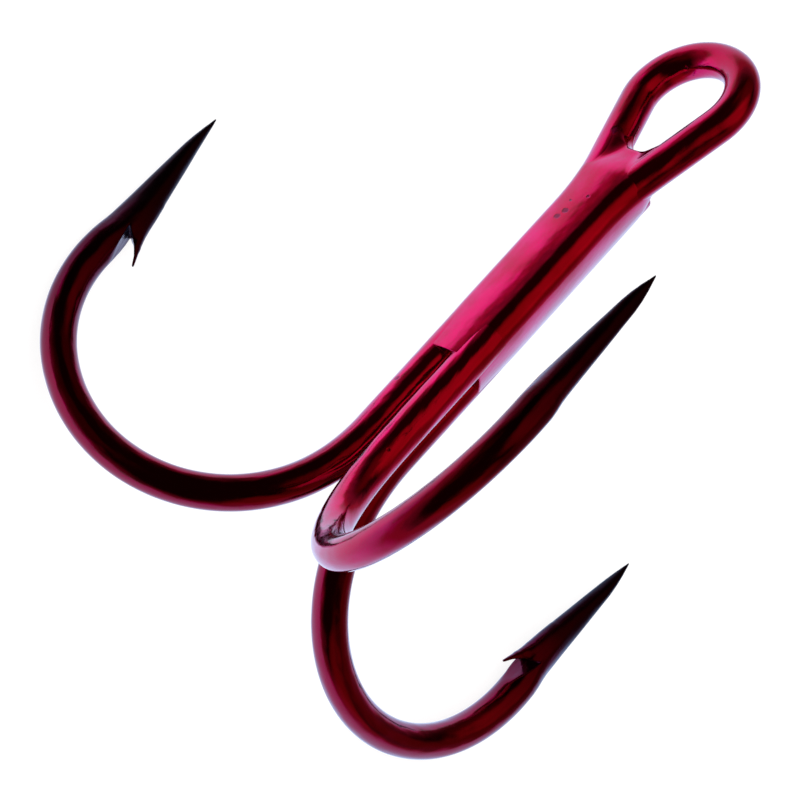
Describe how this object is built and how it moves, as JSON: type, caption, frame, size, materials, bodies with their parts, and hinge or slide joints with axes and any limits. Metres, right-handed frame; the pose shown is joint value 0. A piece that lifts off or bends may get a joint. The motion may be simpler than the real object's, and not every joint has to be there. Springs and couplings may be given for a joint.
{
  "type": "treble hook",
  "caption": "Treble fishing hook of brazed round wire with barbed points, a teardrop line eye and a translucent red lacquer over bright plating.",
  "frame": {"origin": "middle of the line eye, in the middle of its wire", "axes": "+X along the shank from the bends towards the eye; +Z the side that the upper hook stands on, with the other hooks pointing down to each side; +Y completes the frame"},
  "size_m": [0.0329, 0.0286, 0.0249],
  "materials": {
    "wire_lacquer": "gloss",
    "braze_lacquer": "gloss"
  },
  "bodies": {
    "root": {"double_hook": "wire_lacquer", "single_hook": "wire_lacquer", "braze": "braze_lacquer"}
  },
  "joints": []
}
